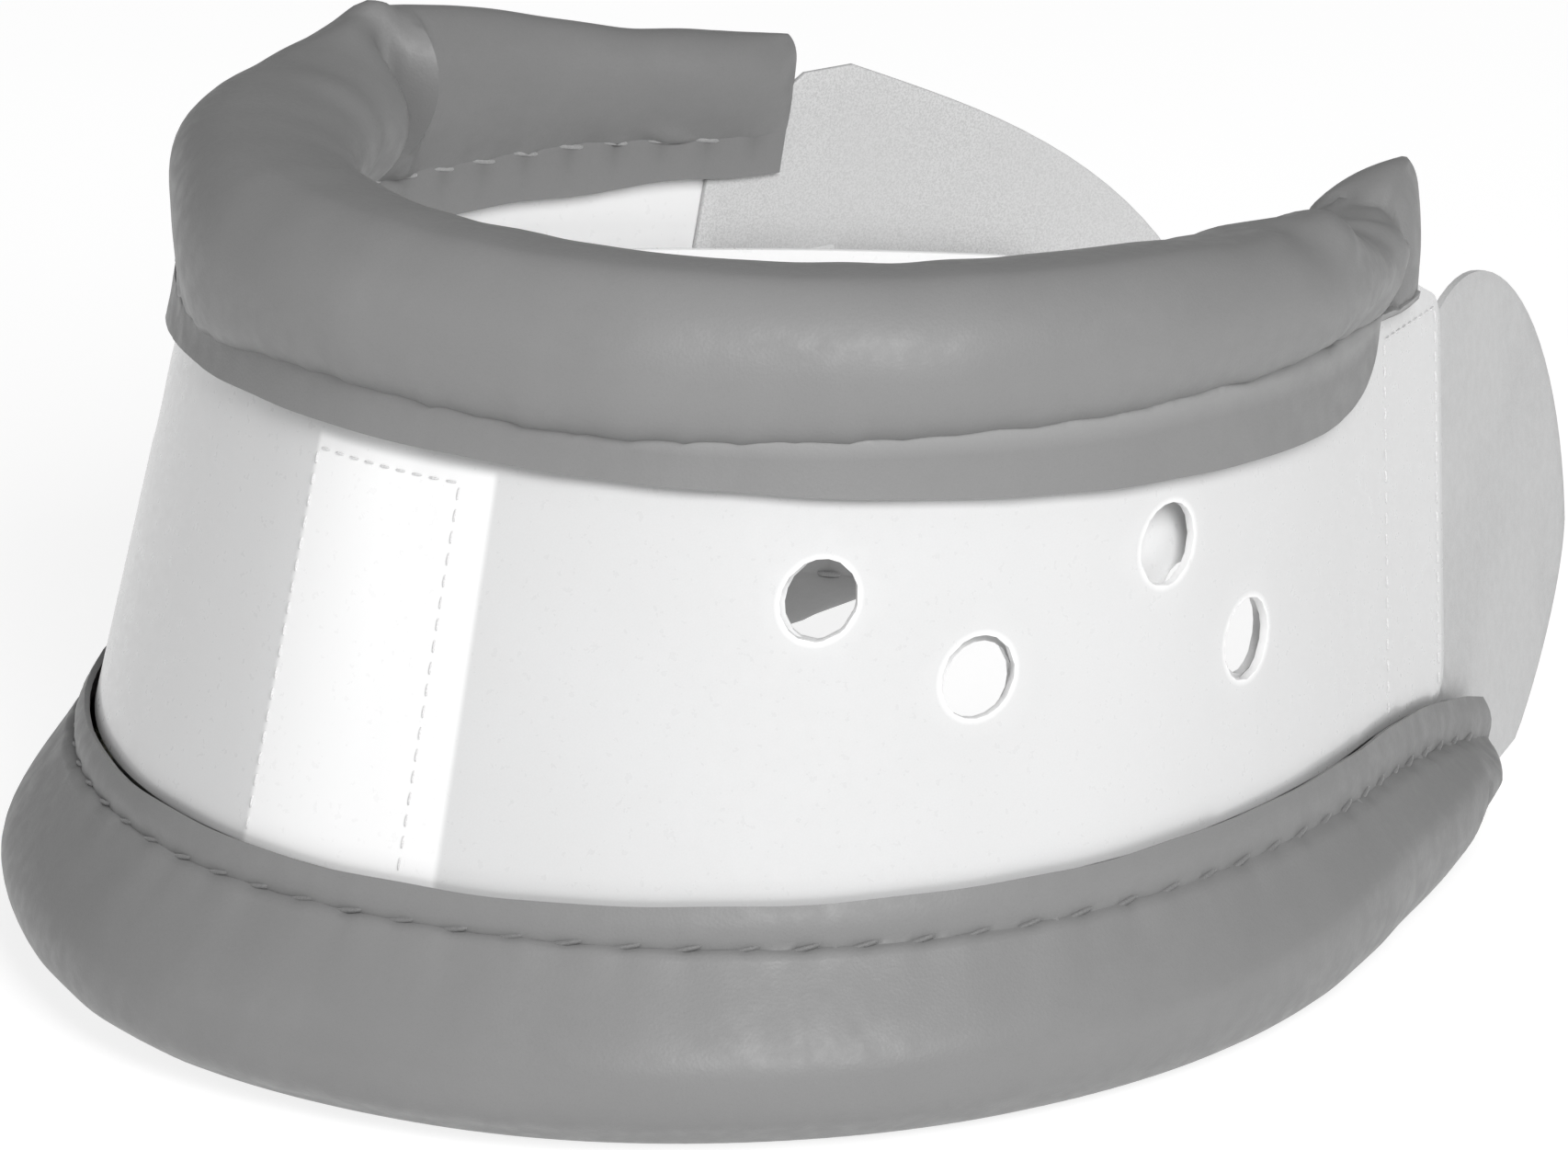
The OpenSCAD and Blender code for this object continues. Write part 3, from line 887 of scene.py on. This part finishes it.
def flap_top(s, side):
    """Top edge of a closure flap. The right one stands higher at its root."""
    root_rise, fade, power = (6.3, 15, FLAP_POWER) if side < 0 else (-8.0, 22, 1.8)
    reach = np.clip((s - FLAP_ROOT) / (FLAP_TIP - FLAP_ROOT), 0, 1)
    curve = (1 - reach**power) ** (1 / power)
    return 18.3 + 46 * curve + root_rise * np.exp(-np.maximum(0, s - FLAP_ROOT) / fade)


def flap_bottom(s):
    reach = np.clip((s - FLAP_ROOT) / (FLAP_TIP - FLAP_ROOT), 0, 1)
    return np.maximum(FLAP_LOW, 18.3 - 24 * (1 - reach**FLAP_POWER) ** (1 / FLAP_POWER))


def flap_outline(side):
    """A closure flap with its sewn margin, as one sheet, for the wearer's left side."""
    turns = np.linspace(0, math.pi / 2, 26)
    tip_side = FLAP_ROOT + (FLAP_TIP - FLAP_ROOT) * np.sin(turns) ** (2 / FLAP_POWER)
    under = tip_side[::-1]
    under = under[under > UNDER_END + 0.5]
    margin = np.linspace(MARGIN_START, FLAP_ROOT, 12)[:-1]
    hidden = END_HIGH + (flap_top(FLAP_ROOT, side) - END_HIGH) * ease((margin - 160) / 8)
    parts = [
        np.stack([margin, hidden], -1),
        np.stack([tip_side, flap_top(tip_side, side)], -1),
        np.stack([under, flap_bottom(under)], -1),
        np.array([[UNDER_END, FLAP_LOW], [UNDER_END - 0.6, 7.0], [UNDER_END - 2, 9.6]]),
        np.array([[UNDER_END - 4.5, 11.7], [UNDER_END - 6, 12.1], [HINGE + 2, 14.5], [MARGIN_START, 17.5]]),
    ]
    outline = np.concatenate(parts)
    gap = np.linalg.norm(outline - np.roll(outline, 1, 0), axis=1)
    return outline[gap > 0.05][::-1]


def mirrored(outline, side):
    """The same outline on the wearer's left (side 1) or right (side -1)."""
    if side > 0:
        return outline
    return (outline * np.array([-1, 1]))[::-1]


def flap_sag(s, z):
    """The free flap waves a little, less than a millimetre."""
    free = ease((np.abs(s) - HINGE - 4) / 30)
    return 0.35 * free * np.sin(z / 17 + np.abs(s) / 23)


def hook_high(middle):
    """The hook strips stop short of the lower panel's top edge."""
    return float(lower_panel_top_z(np.array(abs(middle) + TAPE_HALF))) - 2


# ----------------------------------------------------------------------------- materials


class Shader:
    """A material with a Principled shader and short ways to add nodes to it."""

    def __init__(self, name, colour, roughness, **settings):
        self.material = bpy.data.materials.new(name)
        self.material.use_nodes = True
        self.tree = self.material.node_tree
        self.principled = self.tree.nodes["Principled BSDF"]
        self.principled.inputs["Base Color"].default_value = (*colour, 1)
        self.principled.inputs["Roughness"].default_value = roughness
        for socket, value in settings.items():
            self.principled.inputs[socket.replace("_", " ")].default_value = value
        self.colour = colour

    def add(self, kind, **settings):
        node = self.tree.nodes.new(kind)
        for name, value in settings.items():
            setattr(node, name, value)
        return node

    def link(self, source, target):
        self.tree.links.new(source, target)

    def math(self, operation, first, second=0.0):
        node = self.add("ShaderNodeMath", operation=operation)
        for socket, value in zip(node.inputs, (first, second)):
            if isinstance(value, (int, float)):
                socket.default_value = value
            else:
                self.link(value, socket)
        return node.outputs[0]

    def texture(self, kind, output, **inputs):
        """A texture laid out in the piece's own metres."""
        node = self.add(kind)
        for socket, value in inputs.items():
            node.inputs[socket].default_value = value
        self.link(self.add("ShaderNodeTexCoord").outputs["Object"], node.inputs["Vector"])
        return node.outputs[output]

    def noise(self, per_metre, detail=4.0, roughness=0.55):
        inputs = {"Scale": per_metre, "Detail": detail, "Roughness": roughness}
        return self.texture("ShaderNodeTexNoise", "Fac", **inputs)

    def cells(self, per_metre):
        return self.texture("ShaderNodeTexVoronoi", "Distance", Scale=per_metre)

    def attribute(self, name):
        return self.add("ShaderNodeAttribute", attribute_name=name).outputs["Fac"]

    def ramp(self, value, low, high, start=0.0, end=1.0):
        """value mapped smoothly from low..high to start..end."""
        node = self.add("ShaderNodeMapRange", interpolation_type="SMOOTHSTEP")
        for socket, number in zip(("From Min", "From Max", "To Min", "To Max"), (low, high, start, end)):
            node.inputs[socket].default_value = number
        self.link(value, node.inputs["Value"])
        return node.outputs["Result"]

    def tint(self, factor, other):
        """Mixes another colour into the base colour by a factor socket."""
        node = self.add("ShaderNodeMix", data_type="RGBA")
        self.link(factor, node.inputs["Factor"])
        base = self.principled.inputs["Base Color"]
        colours = [socket for socket in node.inputs if socket.type == "RGBA"]
        if base.is_linked:
            self.link(base.links[0].from_socket, colours[0])
        else:
            colours[0].default_value = (*self.colour, 1)
        colours[1].default_value = (*other, 1)
        result = [socket for socket in node.outputs if socket.type == "RGBA"][0]
        self.link(result, base)

    def rough(self, value, low, high):
        self.link(self.ramp(value, 0.25, 0.75, low, high), self.principled.inputs["Roughness"])

    def bump(self, value, distance, strength):
        node = self.add("ShaderNodeBump")
        node.inputs["Distance"].default_value = distance * MM
        node.inputs["Strength"].default_value = strength
        self.link(value, node.inputs["Height"])
        if self.principled.inputs["Normal"].is_linked:
            self.link(self.principled.inputs["Normal"].links[0].from_socket, node.inputs["Normal"])
        self.link(node.outputs["Normal"], self.principled.inputs["Normal"])


def grey(level, warmth=0.0):
    return (level * (1 + warmth), level, level * (1 - warmth))


def between(shader, value, low, high, soft):
    """1 where value lies between low and high, with soft edges."""
    rise = shader.ramp(value, low - soft, low + soft)
    fall = shader.ramp(value, high - soft, high + soft, 1.0, 0.0)
    return shader.math("MULTIPLY", rise, fall)


def front_tape_behind(shader):
    """Factor that is 1 where the front tape shows through the frosted plastic."""
    left, right = FRONT_TAPE_MIDDLE - TAPE_HALF, FRONT_TAPE_MIDDLE + TAPE_HALF
    across = between(shader, shader.attribute("along"), left, right, 0.5)
    up = between(shader, shader.attribute("height"), 0, FRONT_HIGH, 0.6)
    return shader.math("MULTIPLY", across, up)


def plastic(name, level_of_grey):
    shader = Shader(name, grey(level_of_grey, -0.004), 0.3, Coat_Weight=0.35, Coat_Roughness=0.12)
    shader.tint(shader.ramp(shader.noise(60), 0.3, 0.7, 0.0, 0.5), grey(level_of_grey * 0.97))
    grain = shader.noise(5200, 2.0, 0.7)
    shader.tint(shader.ramp(grain, 0.25, 0.75, 0.0, 0.28), grey(level_of_grey * 0.88))
    shader.tint(shader.math("MULTIPLY", front_tape_behind(shader), 0.85), grey(0.96))
    # Painted highlight round the vent rims, read from the rim mark.
    shader.tint(shader.math("MULTIPLY", shader.attribute("rim"), 0.8), grey(0.93))
    # Painted light: the inner face is lighter, as where light falls inside the ring.
    shader.tint(shader.math("MULTIPLY", shader.attribute("inner_face"), 0.9), grey(0.95))
    shader.rough(shader.noise(900, 3.0), 0.26, 0.4)
    shader.bump(grain, 0.008, 0.3)
    shader.bump(shader.noise(55, 2.0), 0.35, 0.25)
    return shader.material


def flap_plastic():
    shader = Shader("flap_plastic", grey(0.525, -0.004), 0.42)
    # Painted light: the flap's inner face is lighter, as if more light fell on it.
    shader.tint(shader.math("MULTIPLY", shader.attribute("inner_face"), 0.8), grey(0.72))
    grain = shader.noise(4200, 3.0, 0.75)
    shader.tint(shader.ramp(grain, 0.4, 0.62, 0.0, 0.6), grey(0.43))
    shader.tint(shader.ramp(shader.noise(42), 0.35, 0.65, 0.0, 0.4), grey(0.60))
    shader.rough(shader.noise(700, 3.0), 0.36, 0.52)
    shader.bump(grain, 0.02, 0.6)
    return shader.material


def vinyl():
    shader = Shader("roll_vinyl", grey(0.229), 0.48, Specular_IOR_Level=0.42)
    shader.tint(shader.ramp(shader.noise(70, 5.0), 0.3, 0.7, 0.0, 0.3), grey(0.205))
    leather = shader.cells(2600)
    fine = shader.noise(6500, 2.0, 0.7)
    shader.tint(shader.ramp(fine, 0.5, 0.75, 0.0, 0.22), grey(0.16))
    # Painted shade in the tucks beside the seams.
    shader.tint(shader.math("MULTIPLY", shader.attribute("seam"), 0.35), grey(0.11))
    # Painted highlight along the ledge under the upper seam.
    shader.tint(shader.math("MULTIPLY", shader.attribute("ledge"), 0.75), grey(0.33))
    shader.rough(shader.noise(420, 4.0), 0.42, 0.58)
    shader.bump(leather, 0.05, 0.35)
    shader.bump(fine, 0.02, 0.45)
    shader.bump(shader.noise(180, 3.0), 0.12, 0.3)
    return shader.material


def foam():
    shader = Shader("roll_foam", (0.78, 0.74, 0.6), 0.9)
    bubbles = shader.cells(1400)
    shader.tint(shader.ramp(bubbles, 0.1, 0.45, 0.5, 0.0), (0.5, 0.46, 0.34))
    shader.bump(bubbles, 0.4, 0.8)
    return shader.material


def tape(name, hooks):
    """Hook tape shows rows of small stems and loop tape a brushed pile."""
    shader = Shader(name, grey(0.74), 0.75, Sheen_Weight=0.0 if hooks else 0.4)
    if hooks:
        axes = [shader.math("MULTIPLY", shader.attribute(axis), 4.6) for axis in ("along", "height")]
        stems = shader.math("MULTIPLY", *[shader.math("SINE", axis) for axis in axes])
        pattern = shader.ramp(stems, 0.0, 0.8)
    else:
        pattern = shader.noise(2600, 6.0, 0.7)
    shader.tint(shader.ramp(pattern, 0.3, 0.7, 0.4, 0.0), grey(0.52))
    shader.tint(shader.ramp(shader.noise(160), 0.35, 0.65, 0.0, 0.3), grey(0.66))
    shader.bump(pattern, 0.3, 0.8)
    return shader.material


def thread_material(name, level):
    shader = Shader(name, grey(level), 0.6, Sheen_Weight=0.3)
    ply = shader.noise(5200, 3.0)
    shader.tint(shader.ramp(ply, 0.35, 0.65, 0.0, 0.45), grey(level * 0.6))
    shader.bump(ply, 0.06, 0.9)
    return shader.material


def finish_piece(obj, material, slot, body, *nodes):
    """Paints a piece, lets it stand for its CAD nodes and ride with its body."""
    obj.data.materials.clear()
    obj.data.materials.append(material)
    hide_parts(*nodes)
    if body:
        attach(obj, body)


# -------------------------------------------------------------------------- the collar

GREY_THREAD = thread_material("grey_thread", 0.2)
LIGHT_THREAD = thread_material("light_thread", 0.36)
WHITE_THREAD = thread_material("white_thread", 0.74)
LOOP_TAPE = tape("loop_tape", False)
HOOK_TAPE = tape("hook_tape", True)
VINYL_SKIN = vinyl()
FOAM = foam()
FLAP_SHEET = flap_plastic()


def build_panels():
    outline = band_outline(UPPER_PANEL_END, upper_panel_bottom_z, upper_panel_top_z)
    upper = sheet_piece("upper_shell", outline, 0.0, -SHEET, both_sides(UPPER_VENTS))
    finish_piece(upper, plastic("upper_plastic", 0.68), "panel_plastic", "upper", "upper_panel")
    outline = band_outline(LOWER_PANEL_END, lower_panel_bottom_z, lower_panel_top_z)
    lower = sheet_piece("lower_shell", outline, LOWER_FACE, LOWER_FACE - SHEET, both_sides(LOWER_VENTS))
    # The lower panel takes a lighter copy of the same plastic, which paints light into the shaded inside of
    # the ring.
    finish_piece(lower, plastic("lower_plastic_lit", 0.84), "panel_plastic", "lower", "lower_panel")


def build_rolls():
    cover = roll_cover("upper_cover", UPPER_ROLL_END, True)
    finish_piece(cover, VINYL_SKIN, "roll_vinyl", "upper", "upper_roll_cover")
    cover = roll_cover("lower_cover", LOWER_ROLL_END, False)
    finish_piece(cover, VINYL_SKIN, "roll_vinyl", "lower", "lower_roll_cover")
    core = roll_core("upper_core", UPPER_ROLL_END, upper_roll)
    finish_piece(core, FOAM, "roll_foam", "upper", "upper_roll_foam")
    core = roll_core("lower_core", LOWER_ROLL_END, lower_roll)
    finish_piece(core, FOAM, "roll_foam", "lower", "lower_roll_foam")


def under_upper_seam(s):
    return upper_seam_z(s) - 0.35


def build_roll_stitches():
    face = UPPER_MID + COVER_FACE
    paths = seam_paths(UPPER_STITCHES, under_upper_seam, face - 0.1, -SHEET - face, 4.4, 0.75, 0.45)
    threads = stitches("upper_seam_thread", paths, 0.33)
    finish_piece(threads, LIGHT_THREAD, "grey_thread", "upper", "upper_roll_stitching")
    inner_face = LOWER_MID - COVER_FACE
    out_face = LOWER_SEAM_FACE - 0.1
    paths = seam_paths(LOWER_STITCHES, lower_seam_z, out_face, inner_face, STITCH_LENGTH, 0.4, 0.4)
    threads = stitches("lower_seam_thread", paths, 0.3)
    finish_piece(threads, GREY_THREAD, "grey_thread", "lower", "lower_roll_stitching")


def level(z):
    """The same height at every s."""
    return lambda s: z


def end_row_z(s):
    """Top row of an end strip's stitches, which falls towards the panel's end."""
    return 62.4 - 0.13 * (abs(s) - END_STRIP + BOX_HALF)


def panel_foot(s):
    return float(upper_panel_bottom_z(np.array(s))) + 0.9


def build_strips():
    inner = LOWER_FACE + HOOK + 0.3
    places = {"front": 0.0, "left": END_STRIP, "right": -END_STRIP}
    hook_paths = []
    for side, middle in places.items():
        low, high = (FRONT_LOW, FRONT_HIGH) if side == "front" else (END_LOW, END_HIGH)
        back = -SHEET - SNUG if side == "front" else FLAP_BACK - SNUG
        loop_high = FRONT_HIGH if side == "front" else END_LOOP_HIGH
        sides = (middle - TAPE_HALF, middle + TAPE_HALF)
        outline = rectangle(*sides, low, loop_high)
        loop = sheet_piece(f"{side}_loop_tape", outline, back, inner, step=TAPE_STEP, edge=0.3)
        finish_piece(loop, LOOP_TAPE, "fastener_tape", "upper", f"{side}_loop_strip")
        columns = (middle - BOX_HALF, middle + BOX_HALF)
        row = level(high - BOX_INSET) if side == "front" else end_row_z
        paths = box_paths(columns, panel_foot, row, 0.0, 1, False)
        inner_row = level(loop_high - BOX_INSET)
        paths += box_paths(columns, level(low), inner_row, inner, -1, False)
        threads = stitches(f"{side}_box_thread", paths, BOX_THREAD)
        finish_piece(threads, WHITE_THREAD, "white_thread", "upper", f"{side}_strip_stitching")
        top = hook_high(middle)
        outline = rectangle(*sides, low, top)
        face = LOWER_FACE + SNUG
        hook = sheet_piece(f"{side}_hook_tape", outline, face + HOOK, face, step=TAPE_STEP, edge=0.3)
        finish_piece(hook, HOOK_TAPE, "fastener_tape", "lower", f"{side}_hook_strip")
        box_low, box_high = level(low + BOX_INSET), level(top - BOX_INSET)
        hook_paths += box_paths(columns, box_low, box_high, LOWER_FACE - SHEET, -1, True)
    threads = stitches("hook_box_thread", hook_paths, BOX_THREAD)
    finish_piece(threads, WHITE_THREAD, "white_thread", "lower", "hook_strip_stitching")


def build_flap(word, side, patch_face, patch_name, patch_material):
    """A closure flap and the hook or loop patch bonded to it."""
    outline = mirrored(flap_outline(side), side)
    body = f"{word}_flap"
    flap = sheet_piece(body, outline, FLAP_FACE, FLAP_BACK, step=2.2, lift=flap_sag, edge=0.18)
    nodes = (f"{word}_flap_margin", f"{word}_closure_flap")
    finish_piece(flap, FLAP_SHEET, "flap_plastic", None, *nodes)
    start = place(side * (HINGE - 1.5), FLAP_FACE, MID_HEIGHT)
    end = place(side * (HINGE + 4.5), FLAP_FACE, MID_HEIGHT)
    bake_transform(flap)
    face = patch_face + flap_sag(216.0, 26.0)
    outline = mirrored(rectangle(*PATCH_S, *PATCH_Z), side)
    patch = sheet_piece(f"{word}_patch", outline, face, face - PATCH, step=1.6, edge=0.35)
    finish_piece(patch, patch_material, "fastener_tape", body, f"closure_{patch_name}_patch")


# ---------------------------------------------------------------- floor, light, camera


FLOOR_GLOW = 0.78
FLOOR_GREY = 0.32
FLOOR_RADIUS = 6.0
FLOOR_SIDES = 48


def build_floor():
    points = np.pad(FLOOR_RADIUS * unit_circle(FLOOR_SIDES), ((0, 0), (0, 1)))
    floor = make_object("floor", points, [tuple(range(FLOOR_SIDES))])
    glow = {"Emission_Color": (1, 1, 1, 1), "Emission_Strength": FLOOR_GLOW}
    shader = Shader("studio_floor", grey(FLOOR_GREY), 0.9, **glow)
    shader.tint(shader.ramp(shader.noise(3), 0.3, 0.7, 0.0, 0.3), grey(FLOOR_GREY * 0.97))
    floor.data.materials.append(shader.material)


def direction(azimuth, elevation):
    """From the collar towards a light or the camera. Azimuth 0 is in front of the chin."""
    a, e = math.radians(azimuth), math.radians(elevation)
    return Vector((math.sin(a) * math.cos(e), -math.cos(a) * math.cos(e), math.sin(e)))


def soft_light(name, azimuth, elevation, distance, width, height, power):
    data = bpy.data.lights.new(name, "AREA")
    data.shape = "RECTANGLE"
    data.size, data.size_y = width, height
    data.energy = power
    lamp = bpy.data.objects.new(name, data)
    back = direction(azimuth, elevation)
    lamp.location = Vector((0, 0, 0.045)) + back * distance
    lamp.rotation_euler = (-back).to_track_quat("-Z", "Y").to_euler()
    bpy.context.scene.collection.objects.link(lamp)


def build_light():
    world = bpy.data.worlds.new("studio")
    world.use_nodes = True
    backdrop = world.node_tree.nodes["Background"]
    backdrop.inputs["Color"].default_value = (1, 1, 1, 1)
    backdrop.inputs["Strength"].default_value = 0.14
    bpy.context.scene.world = world
    soft_light("key", 58, 36, 1.3, 0.6, 0.6, 14.5)
    soft_light("top", 0, 88, 1.1, 0.8, 0.8, 2.2)
    soft_light("left_fill", -38, 24, 1.3, 0.4, 0.8, 2.4)
    bpy.context.scene.view_settings.view_transform = "Standard"


CAMERA_AZIMUTH = 38.99
CAMERA_ELEVATION = 19.24
CAMERA_DISTANCE = 2.7878
CAMERA_ROLL = -0.288
CAMERA_LENS = 585.57
CAMERA_AIM = (0.00822, -0.01866, 0.0403)


def build_camera():
    data = bpy.data.cameras.new("camera")
    data.sensor_width = 36
    data.lens = CAMERA_LENS
    data.clip_end = 50
    camera = bpy.data.objects.new("camera", data)
    back = direction(CAMERA_AZIMUTH, CAMERA_ELEVATION)
    camera.location = Vector(CAMERA_AIM) + back * CAMERA_DISTANCE
    upright = (-back).to_track_quat("-Z", "Y")
    roll = Matrix.Rotation(math.radians(CAMERA_ROLL), 3, "Z").to_quaternion()
    camera.rotation_mode = "QUATERNION"
    camera.rotation_quaternion = upright @ roll
    bpy.context.scene.collection.objects.link(camera)
    bpy.context.scene.camera = camera


build_camera()
build_panels()
build_rolls()
build_roll_stitches()
build_strips()
build_flap("left", 1, FLAP_BACK - SNUG, "hook", HOOK_TAPE)
build_flap("right", -1, FLAP_FACE + SNUG + PATCH, "loop", LOOP_TAPE)
build_floor()
build_light()
